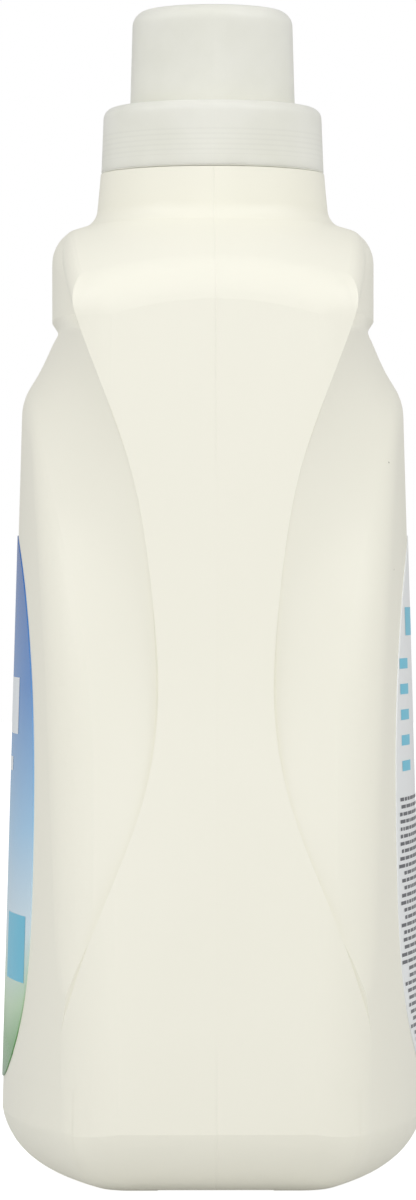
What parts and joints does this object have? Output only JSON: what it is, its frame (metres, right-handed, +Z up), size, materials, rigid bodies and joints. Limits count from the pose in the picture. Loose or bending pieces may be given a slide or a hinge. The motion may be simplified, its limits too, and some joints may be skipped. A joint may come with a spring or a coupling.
{
  "type": "laundry detergent bottle",
  "caption": "Blow-moulded laundry detergent bottle with an hourglass grip down each narrow side, arched label panels and a screw-on dosing cap.",
  "frame": {"origin": "centre of the standing base, on the surface that the bottle stands on", "axes": "+Z up along the neck, +X along the bottle's width towards one narrow side, -Y towards the front label"},
  "size_m": [0.1406, 0.0912, 0.25],
  "materials": {
    "white_polyethylene": "satin",
    "natural_polypropylene": "satin translucent",
    "spout_polyethylene": "satin",
    "seal_foam": "matt",
    "front_film": "gloss",
    "back_film": "gloss"
  },
  "bodies": {
    "bottle_body": {"bottle": "white_polyethylene", "pour_spout": "spout_polyethylene", "front_label": "front_film", "back_label": "back_film"},
    "seal_body": {"seal_ring": "seal_foam"},
    "cap_body": {"dosing_cap": "natural_polypropylene"}
  },
  "joints": [
    {"name": "cap_rise", "type": "slide", "parent": "bottle_body", "child": "seal_body", "axis": [0, 0, 1], "range_m": [0, 0.009]},
    {"name": "cap_turn", "type": "hinge", "parent": "seal_body", "child": "cap_body", "pos_m": [0, 0, 0.2276], "axis": [0, 0, 1], "range_deg": [0, 540]}
  ],
  "couplings": [
    {"joint": "cap_rise", "follows": "cap_turn", "m_per_rad": 0.00095493}
  ]
}
